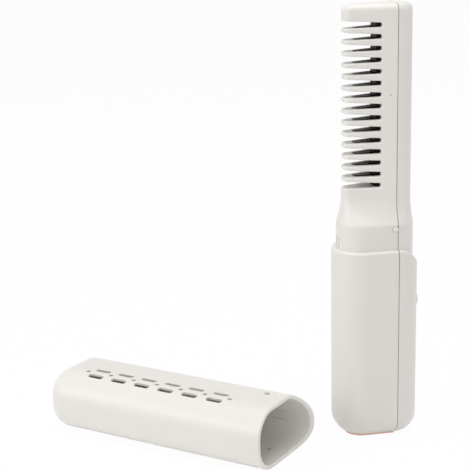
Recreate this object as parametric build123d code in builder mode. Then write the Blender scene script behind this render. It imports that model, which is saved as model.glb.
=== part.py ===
from build123d import *
import math
import os

# Cordless straightening comb that stands on its foot, with its vented cap lying beside it.
# X runs from the teeth to the spine, Y through the thickness and Z up from the foot.
# The origin is the middle of the foot. All sizes are in millimetres.

os.makedirs("parts", exist_ok=True)

# Body
body_height = 204.3
handle_width = 40.0
handle_thickness = 29.5
handle_tip_radius = 12.8
handle_spine_reach = 12.1
handle_spine_half = 14.2
handle_wall = 2.0
foot_radius = 9.0
floor_thickness = 2.0
shoulder_height = 91.5
shoulder_dip = 8.3
shoulder_dip_width = 11.0
shoulder_edge_radius = 1.2
seam_x = 7.5
seam_gap = 0.24
lip_thickness = 1.0
lip_reach = 1.8
lip_root = 1.4
lip_clearance = 0.15
lip_end_margin = 10.0

# Collar that the cap slides over
cap_wall = 2.0
cap_clearance = 0.2
collar_length = 12.0
collar_edge_radius = 2.0
key_width = 1.1
key_depth = 0.7
key_length = 5.5
key_spacing = 4.2
rib_rise = 6.0
rib_length = 9.0
rib_reach = 0.5

# Head
taper_length = 12.5
taper_steps = 4
head_tip_x = -15.8
head_tip_half = 4.0
head_tip_radius = 3.6
head_crest_half = 9.7
head_spine_x = 16.0
head_spine_radius = 7.0
head_wall = 2.4
head_top_radius = 3.3
head_top_drop = 0.8
head_top_wall = 2.4
dimple_x = 4.3
dimple_drop = 41.2
dimple_radius = 0.45
dimple_depth = 0.4

# Comb teeth
tooth_count = 14
top_block_height = 8.8
bottom_block_height = 4.7
root_gap_share = 0.36
tip_gap_share = 0.64
guard_edge_radius = 0.7
guard_root_x = 0.8
comb_tip_x = -10.6
comb_root_x = -1.2
comb_back_x = 1.9
comb_tip_half = 0.7
comb_tooth_half = 0.9
comb_recess = 0.12
comb_end_margin = 3.5
comb_nose_rounding = 0.8
heat_clearance = 0.3

# Bottom plate, drawn in from the foot's outline
plate_thickness = 0.9
plate_inset = 5.3
plate_edge_radius = 0.2
peg_radius = 1.0
peg_length = 1.6
peg_places = ((-5.4, -4.2), (-5.4, 4.2), (4.9, 0.0))
peg_clearance = 0.05

# Heater behind the comb
ceramic_thickness = 1.2
ceramic_width = 8.4
ceramic_margin = 3.5
mica_thickness = 0.3
leaf_height = 1.0
leaf_length = 8.0
leaf_width = 2.2
leaf_sheet = 0.3
leaf_y = 3.1
leaf_shares = (0.21, 0.83)
frame_thickness = 1.2
frame_half_width = 6.0
barrier_rise = 2.5
barrier_thickness = 2.5
fit_clearance = 0.2
thermistor_share = 0.5
thermistor_length = 3.0
thermistor_width = 1.8
thermistor_thickness = 1.3
thermistor_rounding = 0.4
window_margin = 4.0
fuse_radius = 1.4
fuse_length = 9.0
fuse_share = 0.4
fuse_y = 2.5
fuse_rounding = 0.5
rib_shares = (0.1, 0.93)
rib_thickness = 2.0
rib_half_width = 4.0

# Leads
heater_lead_radius = 0.55
heater_lead_y = 2.4
sensor_lead_radius = 0.35
sensor_lead_y = 0.9
port_lead_radius = 0.45
port_lead_y = 1.0
lead_hole_clearance = 0.15
lead_turn_drop = 4.0
lead_tail = 6.0
lead_spread = 1.6

# Cap detents beside the seam
detent_x = 6.25
detent_rise = 9.9
detent_radius = 1.3
detent_reach = 0.9
detent_bore_clearance = 0.15
detent_flange_radius = 1.6
detent_flange_thickness = 1.0
detent_rest_gap = 0.05
guide_radius = 2.2
guide_bore_radius = 1.75
guide_web = 1.0
spring_radius = 1.6
spring_bore_radius = 1.2

# Battery
cell_radius = 9.3
cell_head_room = 12.0
cell_x = -7.2
cell_bottom = 14.3
cell_rounding = 0.8
tab_thickness = 0.3
tab_width = 6.0
holder_clearance = 0.2
holder_rim = 0.8
holder_rim_height = 4.0
holder_end = 1.6
holder_strip_x = 2.6
holder_strip_thickness = 1.2
holder_strip_half_width = 12.7
holder_slot_clearance = 0.1
leg_radius = 1.5
leg_x = 5.2
leg_y = 3.6
leg_foot_length = 3.4
leg_foot_half_width = 5.0
ledge_reach = 3.4
ledge_thickness = 2.0
ledge_low_x = -9.0
ledge_high_x = -3.0

# Main board
board_x = 9.0
board_thickness = 1.2
board_half_width = 9.5
board_bottom = 13.0
board_head_room = 8.5
board_corner_radius = 1.5
post_radius = 2.0
post_places = ((-7.0, 24.0), (7.0, 24.0), (-7.0, 70.0), (7.0, 70.0))
screw_head_radius = 1.7
screw_head_height = 1.1
screw_shank_radius = 0.8
screw_length = 4.5
coil_height = 46.0
coil_size = 7.0
coil_thickness = 3.0
coil_corner_radius = 1.2
capacitor_heights = (34.0, 58.0)
capacitor_radius = 2.5
capacitor_length = 4.6
capacitor_rounding = 0.4

# Power button, switch and status light on the spine
button_height = 64.0
button_radius = 3.5
button_clearance = 0.2
button_proud = 0.6
button_travel = 0.4
button_dish_radius = 9.0
button_dish_depth = 0.35
button_rounding = 0.3
button_flange_radius = 4.5
button_flange_thickness = 1.0
button_flange_gap = 0.8
stem_radius = 1.5
switch_size = 6.0
switch_thickness = 3.4
plunger_radius = 1.65
plunger_bore_radius = 1.75
plunger_reach = 1.3
plunger_inside = 1.2
light_height = 52.0
light_radius = 1.0
light_clearance = 0.05
lamp_size = 1.6
lamp_thickness = 0.7
pipe_gap = 0.2
pipe_proud = 0.1
pipe_flange_radius = 1.8
pipe_flange_thickness = 1.0

# Charging port in the foot
port_x = -5.4
port_width = 8.9
port_thickness = 3.2
port_sheet = 0.3
port_length = 7.4
port_inset = 0.4
port_back_thickness = 1.0
port_hole_clearance = 0.25
tongue_width = 6.6
tongue_thickness = 0.7
tongue_length = 5.0
port_board_thickness = 1.0
port_board_corner_radius = 1.0
port_board_half_width = 5.8
port_board_low_x = -10.4
port_board_high_x = 0.4
port_boss_radius = 1.2
port_boss_y = 4.6
port_screw_head_radius = 1.1
port_screw_head_height = 0.6
port_screw_radius = 0.5
port_screw_length = 4.0
port_screw_clearance = 0.1

# Cap
cap_length = 119.3
cap_end_radius = 9.0
cap_end_wall = 2.0
cap_mouth_radius = 0.5
cap_thin_wall = 1.1
cap_thin_start = 19.5
slot_edge_radius = 0.2
slot_length = 8.4
slot_width = 2.6
slot_count = 6
slot_pitch = 13.3
first_slot_place = 28.4
slot_row_x = (-10.6, -4.2)
vent_radius = 1.1
snap_hole_radius = 1.5
cap_mouth_x = -53.5
cap_mouth_y = -29.9
cap_axis_angle = -41.8

# Worked out from the sizes above
collar_inset = cap_wall + cap_clearance
front_edge_x = seam_x - seam_gap / 2
rear_edge_x = seam_x + seam_gap / 2
handle_half = handle_thickness / 2
collar_half = handle_half - collar_inset
collar_top = shoulder_height + collar_length
head_bottom = collar_top + taper_length
cavity_floor = plate_thickness + floor_thickness
cavity_foot_radius = foot_radius - handle_wall
collar_cavity_top = collar_top + 0.5
rear_shoulder = shoulder_height - shoulder_dip
detent_height = shoulder_height + detent_rise
dimple_height = body_height - dimple_drop
teeth_top = body_height - top_block_height
teeth_bottom = head_bottom + bottom_block_height
tooth_pitch = (teeth_top - teeth_bottom) / (tooth_count + root_gap_share)
root_gap = tooth_pitch * root_gap_share
guard_root_thickness = tooth_pitch * (1 - root_gap_share)
guard_tip_thickness = tooth_pitch * (1 - tip_gap_share)
comb_bottom = teeth_bottom - comb_end_margin
comb_top = teeth_top + comb_end_margin
ceramic_bottom = comb_bottom + ceramic_margin
ceramic_top = comb_top - ceramic_margin
ceramic_back_x = comb_back_x + ceramic_thickness
mica_back_x = ceramic_back_x + mica_thickness
frame_x = mica_back_x + leaf_height
frame_back_x = frame_x + frame_thickness
barrier_height = collar_top + barrier_rise
lead_turn_height = detent_height - guide_radius - lead_turn_drop
spine_x = handle_width / 2
cell_top = shoulder_height - cell_head_room
board_top = shoulder_height - board_head_room
holder_low = cell_bottom - tab_thickness - holder_end
holder_high = cell_top + tab_thickness + holder_end
board_back_x = board_x + board_thickness
port_board_z = port_inset + plate_thickness + port_length


def flank_half(x):
    """Half the head's thickness at x, on the straight flank from the tips to the seam."""
    share = (x - head_tip_x) / (seam_x - head_tip_x)
    return head_tip_half + share * (head_crest_half - head_tip_half)


def front_outline(tip_x, tip_half, tip_radius, crest_half, edge_x):
    """Outline across the teeth side: a flat edge at the seam, two flanks and a rounded end."""
    with BuildSketch() as outline:
        with BuildLine():
            Polyline(
                (edge_x, -crest_half), (tip_x, -tip_half), (tip_x, tip_half), (edge_x, crest_half),
                close=True,
            )
        make_face()
        fillet(outline.vertices().group_by(Axis.X)[0], tip_radius)
    return outline.sketch


def height_on_comb(share):
    """Height at a share of the heating comb's span."""
    return comb_bottom + share * (comb_top - comb_bottom)


def rear_outline(crest_half, end_x, round_reach, round_half, edge_x):
    """Outline across the spine side: a flat edge at the seam and elliptical corners."""
    with BuildSketch() as outline:
        with BuildLine():
            corner_x = end_x - round_reach
            corner_y = crest_half - round_half
            EllipticalCenterArc((corner_x, -corner_y), round_reach, round_half, 270, arc_size=90)
            Line((end_x, -corner_y), (end_x, corner_y))
            EllipticalCenterArc((corner_x, corner_y), round_reach, round_half, 0, arc_size=90)
            Polyline(
                (corner_x, crest_half), (edge_x, crest_half), (edge_x, -crest_half), (corner_x, -crest_half),
            )
        make_face()
    return outline.sketch


def handle_front(inset, edge_x=front_edge_x):
    """Teeth side of the handle's outline, drawn in by an inset."""
    half = handle_half - inset
    return front_outline(-spine_x + inset, half, handle_tip_radius - inset, half, edge_x)


def handle_rear(inset, edge_x=rear_edge_x):
    """Spine side of the handle's outline, drawn in by an inset."""
    return rear_outline(
        handle_half - inset, spine_x - inset, handle_spine_reach - inset, handle_spine_half - inset, edge_x,
    )


def taper_share(step):
    """Share of the collar left at a step of the taper: it falls fast at first, then levels out."""
    return (1 - step / taper_steps) ** 2


def blend(head_size, collar_size, share):
    """Size part of the way from the head to the collar."""
    return head_size + share * (collar_size - head_size)


def rounded_handle(outline, bottom, top, radius, seam_side):
    """Prism of the handle's outline, rounded at the foot except along the seam's flat edge."""
    with BuildPart() as prism:
        with BuildSketch(Plane.XY.offset(bottom)):
            add(outline)
        extrude(amount=top - bottom)
        foot_edges = prism.edges().group_by(Axis.Z)[0]
        fillet(foot_edges.sort_by(Axis.X)[:-1] if seam_side > 0 else foot_edges.sort_by(Axis.X)[1:], radius)
    return prism.part


def tooth_profile(tip_x, root_x, tip_thickness, root_thickness):
    """One tooth seen from the side, pointing to the teeth side."""
    with BuildSketch() as tooth:
        with BuildLine():
            Polyline(
                (tip_x, -tip_thickness / 2), (root_x + 1, -root_thickness / 2),
                (root_x + 1, root_thickness / 2), (tip_x, tip_thickness / 2),
                close=True,
            )
        make_face()
    return tooth.sketch


def gaps_between_teeth(tip_x, root_x, tip_thickness, root_thickness, widening):
    """Cutter for the gaps: one block that widens like the teeth, less the teeth, with rounded roots."""
    low = teeth_bottom - widening
    high = teeth_top + widening
    flare = (root_thickness - tip_thickness) / 2
    first_tooth_height = teeth_top - root_gap - guard_root_thickness / 2
    tooth = tooth_profile(tip_x, root_x, tip_thickness - 2 * widening, root_thickness - 2 * widening)
    with BuildPart() as cutter:
        with BuildSketch(Plane.XZ):
            with BuildLine():
                Polyline(
                    (head_tip_x - 2, low - flare), (head_tip_x, low - flare), (root_x, low), (root_x, high),
                    (head_tip_x, high + flare), (head_tip_x - 2, high + flare),
                    close=True,
                )
            make_face()
            for number in range(tooth_count):
                with Locations((0, first_tooth_height - number * tooth_pitch)):
                    add(tooth, mode=Mode.SUBTRACT)
        extrude(amount=handle_half, both=True)
        roots = cutter.edges().filter_by(Axis.Y).group_by(Axis.X)[-1]
        fillet(roots, (tooth_pitch - root_thickness) / 2 * 0.9)
    return cutter.part


def rod(start, end, radius):
    """Straight round rod between two points."""
    axis = Vector(*end) - Vector(*start)
    with BuildPart() as piece:
        with BuildSketch(Plane(origin=start, z_dir=axis)):
            Circle(radius)
        extrude(amount=axis.length)
    return piece.part


def lead(points, radius):
    """Insulated lead along straight runs joined by arcs as large as the runs allow."""
    bends = []
    for before, at, after in zip(points, points[1:], points[2:]):
        arriving = Vector(*at) - Vector(*before)
        leaving = Vector(*after) - Vector(*at)
        turn = math.radians(arriving.get_angle(leaving))
        bends.append(0.45 * min(arriving.length, leaving.length) / math.tan(turn / 2))
    print("lead bend radii", [round(bend, 1) for bend in bends])
    with BuildPart() as piece:
        with BuildLine() as route:
            FilletPolyline(*points, radius=bends)
        with BuildSketch(route.line ^ 0):
            Circle(radius)
        sweep(path=route.line)
    return piece.part


def pill(plane, length, width, depth):
    """Round-ended block, long side along the plane's X."""
    with BuildPart() as piece:
        with BuildSketch(plane):
            SlotOverall(length, width)
        extrude(amount=depth)
    return piece.part


def head_top_cut():
    """Space above the head's top, which falls a little towards the teeth."""
    with BuildPart() as space:
        with BuildSketch(Plane.XZ):
            with BuildLine():
                Polyline(
                    (head_tip_x - 1, body_height - head_top_drop), (head_spine_x + 1, body_height),
                    (head_spine_x + 1, body_height + 1), (head_tip_x - 1, body_height + 1),
                    close=True,
                )
            make_face()
        extrude(amount=handle_half, both=True)
    return space.part


def on_front_surface(point, tip_x, tip_radius, half_at_x):
    """Whether a point lies on the outline's flank, or in its rounded end."""
    return abs(abs(point.Y) - half_at_x) < 0.02 or point.X < tip_x + tip_radius


def level_edges(part, height):
    """Edges of a part that lie at one height."""
    return part.edges().filter_by(
        lambda edge: max(abs(edge.position_at(share).Z - height) for share in (0, 0.5)) < 0.01
    )


def detent_bore():
    """Bore through both collar walls."""
    reach = handle_half + 1
    return rod((detent_x, -reach, detent_height), (detent_x, reach, detent_height),
               detent_radius + detent_bore_clearance)


def collar_grooves(end_x, bottom, length):
    """Pair of upright grooves in one end of the collar."""
    with BuildPart() as grooves:
        with Locations((end_x, -key_spacing / 2, bottom), (end_x, key_spacing / 2, bottom)):
            Box(2 * key_depth, key_width, length, align=(Align.CENTER, Align.CENTER, Align.MIN))
    return grooves.part


# Front shell: the teeth side of the body, from the foot to the tip
with BuildPart() as front_shell:
    add(rounded_handle(handle_front(0), 0, shoulder_height, foot_radius, 1))
    shoulder_edges = front_shell.edges().group_by(Axis.Z)[-1].sort_by(Axis.X)[:-1]
    fillet(shoulder_edges, shoulder_edge_radius)
    with BuildSketch(Plane.XY.offset(shoulder_height - handle_wall)):
        add(handle_front(collar_inset))
    extrude(amount=collar_length + handle_wall)
    for step in range(taper_steps + 1):
        share = taper_share(step)
        with BuildSketch(Plane.XY.offset(collar_top + taper_length * step / taper_steps)):
            add(front_outline(
                blend(head_tip_x, -spine_x + collar_inset, share),
                blend(head_tip_half, collar_half, share),
                blend(head_tip_radius, handle_tip_radius - collar_inset, share),
                blend(head_crest_half, collar_half, share),
                front_edge_x,
            ))
    loft()
    with BuildSketch(Plane.XY.offset(head_bottom)):
        add(front_outline(head_tip_x, head_tip_half, head_tip_radius, head_crest_half, front_edge_x))
    extrude(amount=body_height - head_bottom)
    add(head_top_cut(), mode=Mode.SUBTRACT)
    top_edges = front_shell.faces().sort_by(Axis.Z)[-1].edges().sort_by(Axis.X)[:-1]
    fillet(top_edges, head_top_radius)
    # Hollow handle, collar and head
    add(
        rounded_handle(
            handle_front(handle_wall, seam_x + 1), cavity_floor, shoulder_height - handle_wall,
            cavity_foot_radius, 1,
        ),
        mode=Mode.SUBTRACT,
    )
    with BuildSketch(Plane.XY.offset(shoulder_height - 2 * handle_wall)):
        add(handle_front(collar_inset + handle_wall, seam_x + 1))
    extrude(amount=collar_cavity_top - shoulder_height + 2 * handle_wall, mode=Mode.SUBTRACT)
    nose_x = comb_tip_x - heat_clearance
    nose_half = flank_half(nose_x) - head_wall
    with BuildSketch(Plane.XY.offset(teeth_bottom + root_gap / 2)):
        add(front_outline(nose_x, nose_half, nose_half * comb_nose_rounding,
                          head_crest_half - head_wall, seam_x))
    extrude(amount=teeth_top - teeth_bottom - root_gap, mode=Mode.SUBTRACT)
    cavity_tip_x = comb_root_x - heat_clearance
    cavity_tip_half = flank_half(cavity_tip_x) - head_wall
    with BuildSketch(Plane.XY.offset(collar_cavity_top - 1)):
        add(front_outline(cavity_tip_x, cavity_tip_half, 1.0, head_crest_half - head_wall, seam_x + 0.05))
    extrude(amount=body_height - head_top_wall - collar_cavity_top + 1, mode=Mode.SUBTRACT)
    # Gaps between the guard teeth
    add(
        gaps_between_teeth(head_tip_x, guard_root_x, guard_tip_thickness, guard_root_thickness, 0),
        mode=Mode.SUBTRACT,
    )
    # The foot ends above the bottom plate, which pegs and the port pass
    Box(handle_width * 2, handle_thickness * 2, 2 * plate_thickness, mode=Mode.SUBTRACT)
    for peg_x, peg_y in peg_places:
        add(rod((peg_x, peg_y, 0), (peg_x, peg_y, plate_thickness + peg_length + peg_clearance),
                peg_radius + peg_clearance), mode=Mode.SUBTRACT)
    for side in (-1, 1):
        add(rod((port_x, side * port_boss_y, cavity_floor), (port_x, side * port_boss_y, port_board_z),
                port_boss_radius))
        add(rod((port_x, side * port_boss_y, port_board_z - port_screw_length),
                (port_x, side * port_boss_y, port_board_z), port_screw_radius), mode=Mode.SUBTRACT)
    add(pill(Plane((port_x, 0, 0)), port_width + 2 * port_hole_clearance,
             port_thickness + 2 * port_hole_clearance, cavity_floor + 1), mode=Mode.SUBTRACT)
    # Ledges on both walls that the battery holder sits on
    for side in (-1, 1):
        ledge_y = side * (handle_half - handle_wall - ledge_reach)
        with Locations((ledge_low_x, ledge_y, holder_low - ledge_thickness)):
            Box(ledge_high_x - ledge_low_x, ledge_reach + handle_wall / 2, ledge_thickness,
                align=(Align.MIN, Align.MIN if side > 0 else Align.MAX, Align.MIN))
    # Cap fittings on the collar
    add(detent_bore(), mode=Mode.SUBTRACT)
    add(collar_grooves(-spine_x + collar_inset, shoulder_height, key_length), mode=Mode.SUBTRACT)
    # Small dimple on each face of the head
    for side in (-1, 1):
        face_y = side * flank_half(dimple_x)
        add(rod((dimple_x, face_y + side, dimple_height),
                (dimple_x, face_y - side * dimple_depth, dimple_height), dimple_radius), mode=Mode.SUBTRACT)
    # Soft edges on the guard teeth and above the collar
    guard_edges = front_shell.edges().filter_by(
        lambda edge: teeth_bottom - 2 < edge.position_at(0.5).Z < teeth_top + 2
        and edge.position_at(0.5).X < guard_root_x + 0.3
        and on_front_surface(edge.position_at(0.5), head_tip_x, head_tip_radius,
                             flank_half(edge.position_at(0.5).X))
    )
    fillet(guard_edges, guard_edge_radius)
    collar_edges = level_edges(front_shell, collar_top).filter_by(
        lambda edge: on_front_surface(edge.position_at(0.5), -spine_x + collar_inset,
                                      handle_tip_radius - collar_inset, collar_half)
    )
    fillet(collar_edges, collar_edge_radius)
front_shell.part.label = "front_shell"
export_step(front_shell.part, "parts/front_shell.step")


def dip_curve(level):
    """Four points of the curve in which the shoulder drops from a level towards the spine."""
    start_x = spine_x - shoulder_dip_width
    return [
        (start_x, level), (start_x + shoulder_dip_width * 0.3, level),
        (spine_x - shoulder_dip_width * 0.38, level - shoulder_dip * 0.42), (spine_x, level - shoulder_dip),
    ]


def shoulder_cut():
    """Space above the rear shoulder, whose level drops in a curve towards the spine."""
    curve = dip_curve(shoulder_height)
    with BuildPart() as space:
        with BuildSketch(Plane.XZ):
            with BuildLine():
                Bezier(*curve)
                Polyline(
                    curve[-1], (spine_x + 1, rear_shoulder), (spine_x + 1, shoulder_height + 1),
                    (spine_x - shoulder_dip_width, shoulder_height + 1), curve[0],
                )
            make_face()
        extrude(amount=handle_thickness, both=True)
    return space.part


# Rear cover: the spine side of the body, closed on the front shell along the seam
with BuildPart() as rear_cover:
    add(rounded_handle(handle_rear(0), 0, shoulder_height, foot_radius, -1))
    add(shoulder_cut(), mode=Mode.SUBTRACT)
    top_faces = rear_cover.faces().filter_by(lambda f: f.normal_at(f.center()).Z > 0.5)
    rim = [
        edge for edge in top_faces.edges()
        if edge.center().X > rear_edge_x + 0.2
        and abs(edge.center().Y) + max(edge.center().X - seam_x, 0) > handle_half - 1.0
        and len([face for face in rear_cover.faces() if edge in face.edges()]) == 2
        and min(face.normal_at(face.center()).Z for face in rear_cover.faces() if edge in face.edges()) < 0.5
    ]
    fillet(rim, shoulder_edge_radius)
    with BuildSketch(Plane.XY.offset(rear_shoulder - 2 * handle_wall)):
        add(handle_rear(collar_inset))
    extrude(amount=collar_top - rear_shoulder + 2 * handle_wall)
    for step in range(taper_steps + 1):
        share = taper_share(step)
        with BuildSketch(Plane.XY.offset(collar_top + taper_length * step / taper_steps)):
            add(rear_outline(
                blend(head_crest_half, collar_half, share),
                blend(head_spine_x, spine_x - collar_inset, share),
                blend(head_spine_radius, handle_spine_reach - collar_inset, share),
                blend(head_spine_radius, handle_spine_half - collar_inset, share),
                rear_edge_x,
            ))
    loft()
    with BuildSketch(Plane.XY.offset(head_bottom)):
        add(rear_outline(head_crest_half, head_spine_x, head_spine_radius, head_spine_radius, rear_edge_x))
    extrude(amount=body_height - head_bottom)
    add(head_top_cut(), mode=Mode.SUBTRACT)
    top_edges = rear_cover.faces().sort_by(Axis.Z)[-1].edges().sort_by(Axis.X)[1:]
    fillet(top_edges, head_top_radius)
    # Hollow handle, collar and head
    add(
        rounded_handle(
            handle_rear(handle_wall, seam_x - 1), cavity_floor, rear_shoulder - handle_wall,
            cavity_foot_radius, -1,
        ),
        mode=Mode.SUBTRACT,
    )
    with BuildSketch(Plane.XY.offset(rear_shoulder - 3 * handle_wall)):
        add(handle_rear(collar_inset + handle_wall, seam_x - 1))
    extrude(amount=collar_cavity_top - rear_shoulder + 3 * handle_wall, mode=Mode.SUBTRACT)
    with BuildSketch(Plane.XY.offset(collar_cavity_top - 1)):
        add(rear_outline(head_crest_half - head_wall, head_spine_x - head_wall,
                         head_spine_radius - head_wall, head_spine_radius - head_wall, seam_x - 1))
    extrude(amount=body_height - head_top_wall - collar_cavity_top + 1, mode=Mode.SUBTRACT)
    # The foot ends above the bottom plate, and the detents' bores reach across the seam
    Box(handle_width * 2, handle_thickness * 2, 2 * plate_thickness, mode=Mode.SUBTRACT)
    add(detent_bore(), mode=Mode.SUBTRACT)
    # Ribs that press the heater frame forward
    for rib_share in rib_shares:
        with BuildSketch(Plane.XY.offset(height_on_comb(rib_share))):
            with BuildLine():
                Polyline(
                    (frame_back_x, -rib_half_width), (head_spine_x - head_wall / 2, -rib_half_width),
                    (head_spine_x - head_wall / 2, rib_half_width), (frame_back_x, rib_half_width),
                    close=True,
                )
            make_face()
        extrude(amount=rib_thickness)
    # Lips that lie inside the front shell's walls
    for wall_y, lip_low, lip_high in (
        (handle_half - handle_wall, board_bottom, rear_shoulder - lip_thickness - 2 * handle_wall),
        (flank_half(seam_x - lip_reach) - head_wall,
         comb_bottom + lip_end_margin, comb_top - lip_end_margin),
    ):
        for side in (-1, 1):
            lip_middle = (lip_low + lip_high) / 2
            lip_y = side * (wall_y - lip_clearance - lip_thickness / 2)
            with Locations((seam_x - lip_reach, lip_y, lip_middle)):
                Box(lip_reach + lip_root, lip_thickness, lip_high - lip_low,
                    align=(Align.MIN, Align.CENTER, Align.CENTER))
            with Locations((rear_edge_x, side * wall_y, lip_middle)):
                Box(lip_root, 2 * (lip_clearance + lip_thickness / 2), lip_high - lip_low,
                    align=(Align.MIN, Align.CENTER, Align.CENTER))
    # Holes for the button and the light
    add(rod((board_back_x + 2, 0, button_height), (spine_x + 2, 0, button_height),
            button_radius + button_clearance), mode=Mode.SUBTRACT)
    add(rod((board_back_x + 2, 0, light_height), (spine_x + 2, 0, light_height),
            light_radius + light_clearance), mode=Mode.SUBTRACT)
    collar_edges = level_edges(rear_cover, collar_top).filter_by(
        lambda edge: edge.position_at(0.5).X > rear_edge_x + 1
        and abs(edge.position_at(0.5).Y) + edge.position_at(0.5).X - rear_edge_x > collar_half - 1
    )
    fillet(collar_edges, collar_edge_radius)
    add(collar_grooves(spine_x - collar_inset, shoulder_height + rib_rise - fit_clearance, taper_length),
        mode=Mode.SUBTRACT)
rear_cover.part.label = "rear_cover"
export_step(rear_cover.part, "parts/rear_cover.step")

# Bottom plate under the teeth side of the foot, with pegs
with BuildPart() as bottom_plate:
    with BuildSketch():
        add(handle_front(plate_inset))
    extrude(amount=plate_thickness)
    fillet(bottom_plate.edges().group_by(Axis.Z)[0], plate_edge_radius)
    for peg_x, peg_y in peg_places:
        add(rod((peg_x, peg_y, plate_thickness / 2), (peg_x, peg_y, plate_thickness + peg_length),
                peg_radius))
    add(pill(Plane((port_x, 0, -1)), port_width + 2 * port_hole_clearance,
             port_thickness + 2 * port_hole_clearance, plate_thickness + 2), mode=Mode.SUBTRACT)
bottom_plate.part.label = "bottom_plate"
export_step(bottom_plate.part, "parts/bottom_plate.step")

# Heating comb: a coated metal bar behind the guard teeth, with thin teeth midway between them
with BuildPart() as heating_comb:
    comb_back_half = flank_half(comb_back_x) - head_wall - heat_clearance
    with BuildSketch(Plane.XY.offset(teeth_bottom)):
        add(front_outline(comb_tip_x, comb_tip_half, comb_tip_half * comb_nose_rounding,
                          comb_tooth_half, comb_back_x))
    extrude(amount=teeth_top - teeth_bottom)
    with BuildSketch(Plane.XY.offset(comb_bottom)):
        add(front_outline(comb_root_x, flank_half(comb_root_x) - head_wall - heat_clearance, 1.0,
                          comb_back_half, comb_back_x))
    extrude(amount=comb_top - comb_bottom)
    add(
        gaps_between_teeth(head_tip_x, comb_root_x, guard_tip_thickness, guard_root_thickness, comb_recess),
        mode=Mode.SUBTRACT,
    )
heating_comb.part.label = "heating_comb"
export_step(heating_comb.part, "parts/heating_comb.step")

# Ceramic heater plate flat on the comb's back
with BuildPart() as ceramic_heater:
    with Locations((comb_back_x, 0, ceramic_bottom)):
        Box(ceramic_thickness, ceramic_width, ceramic_top - ceramic_bottom,
            align=(Align.MIN, Align.CENTER, Align.MIN))
ceramic_heater.part.label = "ceramic_heater"
export_step(ceramic_heater.part, "parts/ceramic_heater.step")

# Mica sheet that insulates the heater's back
with BuildPart() as mica_sheet:
    with Locations((ceramic_back_x, 0, ceramic_bottom)):
        Box(mica_thickness, ceramic_width, ceramic_top - ceramic_bottom,
            align=(Align.MIN, Align.CENTER, Align.MIN))
mica_sheet.part.label = "mica_sheet"
export_step(mica_sheet.part, "parts/mica_sheet.step")

# Leaf springs that press the heater on the comb
with BuildPart() as clamp_springs:
    for side, leaf_share in ((-1, 0), (1, 0), (-1, 1), (1, 1)):
        leaf_z = height_on_comb(leaf_shares[leaf_share])
        with BuildSketch(Plane.XZ.offset(-side * leaf_y - leaf_width / 2)):
            with BuildLine():
                ThreePointArc(
                    (mica_back_x, leaf_z - leaf_length / 2), (frame_x, leaf_z),
                    (mica_back_x, leaf_z + leaf_length / 2),
                )
                Line((mica_back_x, leaf_z + leaf_length / 2), (mica_back_x, leaf_z + leaf_length / 2 - 1))
                ThreePointArc(
                    (mica_back_x, leaf_z + leaf_length / 2 - 1), (frame_x - leaf_sheet, leaf_z),
                    (mica_back_x, leaf_z - leaf_length / 2 + 1),
                )
                Line((mica_back_x, leaf_z - leaf_length / 2 + 1), (mica_back_x, leaf_z - leaf_length / 2))
            make_face()
        extrude(amount=leaf_width)
clamp_springs.part.label = "clamp_springs"
export_step(clamp_springs.part, "parts/clamp_springs.step")

# Heat-proof frame between the leaf springs and the rear cover's ribs
with BuildPart() as heater_frame:
    with Locations((frame_x, 0, comb_bottom)):
        Box(frame_thickness, 2 * frame_half_width, comb_top - comb_bottom,
            align=(Align.MIN, Align.CENTER, Align.MIN))
    with Locations((frame_x, 0, height_on_comb(thermistor_share) - window_margin)):
        Box(frame_thickness, thermistor_width + 2, thermistor_length + 2 * window_margin,
            align=(Align.MIN, Align.CENTER, Align.MIN), mode=Mode.SUBTRACT)
heater_frame.part.label = "heater_frame"
export_step(heater_frame.part, "parts/heater_frame.step")

# Thermistor on the heater's back, in the frame's window
with BuildPart() as thermistor:
    thermistor_height = height_on_comb(thermistor_share)
    with Locations((mica_back_x, 0, thermistor_height)):
        Box(thermistor_thickness, thermistor_width, thermistor_length,
            align=(Align.MIN, Align.CENTER, Align.MIN))
    fillet(thermistor.edges().filter_by(Axis.Z), thermistor_rounding)
thermistor.part.label = "thermistor"
export_step(thermistor.part, "parts/thermistor.step")

# Thermal fuse on the frame's back
with BuildPart() as thermal_fuse:
    fuse_x = frame_back_x + fuse_radius
    fuse_height = height_on_comb(fuse_share)
    add(rod((fuse_x, fuse_y, fuse_height), (fuse_x, fuse_y, fuse_height + fuse_length), fuse_radius))
    fillet(thermal_fuse.edges().filter_by(GeomType.CIRCLE), fuse_rounding)
thermal_fuse.part.label = "thermal_fuse"
export_step(thermal_fuse.part, "parts/thermal_fuse.step")

# Leads from the heater down to the main board
heater_lead_x = comb_back_x + ceramic_thickness / 2
board_middle_x = board_x + board_thickness / 2
heater_routes = [
    [
        (heater_lead_x, side * heater_lead_y, ceramic_bottom),
        (heater_lead_x, side * heater_lead_y, lead_turn_height),
        (board_middle_x, side * (heater_lead_y + lead_spread), board_top + lead_tail),
        (board_middle_x, side * (heater_lead_y + lead_spread), board_top),
    ]
    for side in (-1, 1)
]
with BuildPart() as heater_leads:
    for route_points in heater_routes:
        add(lead(route_points, heater_lead_radius))
heater_leads.part.label = "heater_leads"
export_step(heater_leads.part, "parts/heater_leads.step")

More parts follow.
